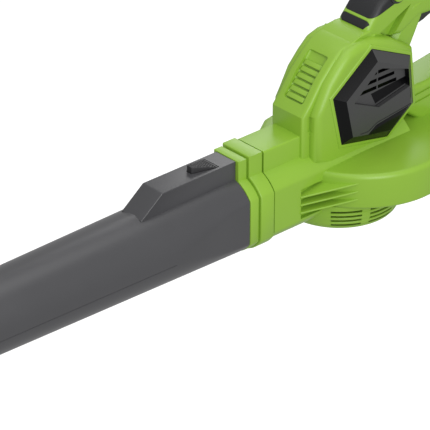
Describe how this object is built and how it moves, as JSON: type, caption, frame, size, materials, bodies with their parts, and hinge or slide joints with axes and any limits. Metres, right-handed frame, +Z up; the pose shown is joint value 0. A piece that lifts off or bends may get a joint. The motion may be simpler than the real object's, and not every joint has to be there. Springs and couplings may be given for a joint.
{
  "type": "leaf blower",
  "caption": "Cordless leaf blower with a long black blow tube, green fan housing, vented side covers, D-shaped rear handle and slide-off battery.",
  "frame": {"origin": "centre of the flat underside of the inlet bowl, on the fan's axis", "axes": "+Z up along the fan's axis; -Y along the blow tube towards the nozzle; +X the machine's left side"},
  "size_m": [0.178, 0.8285, 0.2201],
  "materials": {
    "green_body": "satin moulded lime green, fine mould texture",
    "green_inner": "inner green moulding",
    "green_trim": "satin lime green button",
    "tube_black": "satin charcoal blow-moulded tube",
    "cover_black": "fine-textured black cover",
    "gloss_black": "glossy black inlay",
    "grip_black": "soft-touch black overmould",
    "trigger_black": "smooth black trigger",
    "battery_black": "textured black battery case",
    "inner_black": "plain black moulding",
    "steel": "bright zinc-plated steel",
    "motor_metal": "plain motor metal",
    "winding": "varnished copper winding, simplified",
    "contact_brass": "brass contact",
    "circuit_board": "green circuit board",
    "cell_wrap": "shrink-wrapped cell"
  },
  "bodies": {
    "housing": {"housing_left": "green_body", "housing_right": "green_body", "inlet_bowl": "green_body", "collar": "green_body", "front_louvre_panel": "green_body", "side_cover_left": "cover_black", "side_cover_right": "cover_black", "gloss_panel_left": "gloss_black", "gloss_panel_right": "gloss_black", "grip_skin": "grip_black", "lock_button_ring": "grip_black", "trigger_pin": "steel", "trigger_spring": "steel", "trigger_switch": "inner_black", "fan_plate": "green_inner", "motor_foot": "inner_black", "motor_can": "motor_metal", "motor_end_cap": "inner_black", "lower_bearing": "steel", "upper_bearing": "steel", "stator": "winding", "control_board": "circuit_board", "heat_sink": "motor_metal", "terminal_block": "inner_black", "contact_blade_left": "contact_brass", "contact_blade_right": "contact_brass", "housing_screw_1": "steel", "housing_screw_2": "steel", "housing_screw_3": "steel", "housing_screw_4": "steel", "housing_screw_5": "steel", "housing_screw_6": "steel"},
    "tube": {"blow_tube": "tube_black", "tube_release_spring": "steel"},
    "tube_button": {"tube_release_button": "grip_black"},
    "rotor": {"impeller": "inner_black", "impeller_nut": "steel", "motor_shaft": "steel", "rotor_core": "winding"},
    "trigger": {"trigger": "trigger_black"},
    "lock_button": {"lock_button": "green_trim"},
    "battery": {"battery_top_shell": "battery_black", "battery_bottom_shell": "battery_black", "battery_board": "circuit_board", "cell_1": "cell_wrap", "cell_2": "cell_wrap", "cell_3": "cell_wrap", "cell_4": "cell_wrap", "cell_5": "cell_wrap"},
    "battery_latch": {"battery_latch": "green_trim"}
  },
  "joints": [
    {"name": "tube_pull", "type": "slide", "parent": "housing", "child": "tube", "axis": [0, -1, 0], "range_m": [0, 0.06]},
    {"name": "tube_button_press", "type": "slide", "parent": "tube", "child": "tube_button", "axis": [0, 0, -1], "range_m": [0, 0.004], "stiffness_N_per_m": 600, "springref_m": -0.004},
    {"name": "rotor_spin", "type": "hinge", "parent": "housing", "child": "rotor", "pos_m": [0, 0, 0.06], "axis": [0, 0, 1], "continuous": true},
    {"name": "trigger_pull", "type": "hinge", "parent": "housing", "child": "trigger", "pos_m": [0, 0.092, 0.18], "axis": [1, 0, 0], "range_deg": [0, 12], "stiffness_Nm_per_rad": 0.8, "springref_deg": -8.59},
    {"name": "lock_press", "type": "slide", "parent": "housing", "child": "lock_button", "axis": [-1, 0, 0], "range_m": [0, 0.0025], "stiffness_N_per_m": 600, "springref_m": -0.004},
    {"name": "battery_slide", "type": "slide", "parent": "housing", "child": "battery", "axis": [0, 1, 0], "range_m": [0, 0.06]},
    {"name": "latch_press", "type": "slide", "parent": "battery", "child": "battery_latch", "axis": [0, -1, 0], "range_m": [0, 0.003], "stiffness_N_per_m": 600, "springref_m": -0.004}
  ]
}
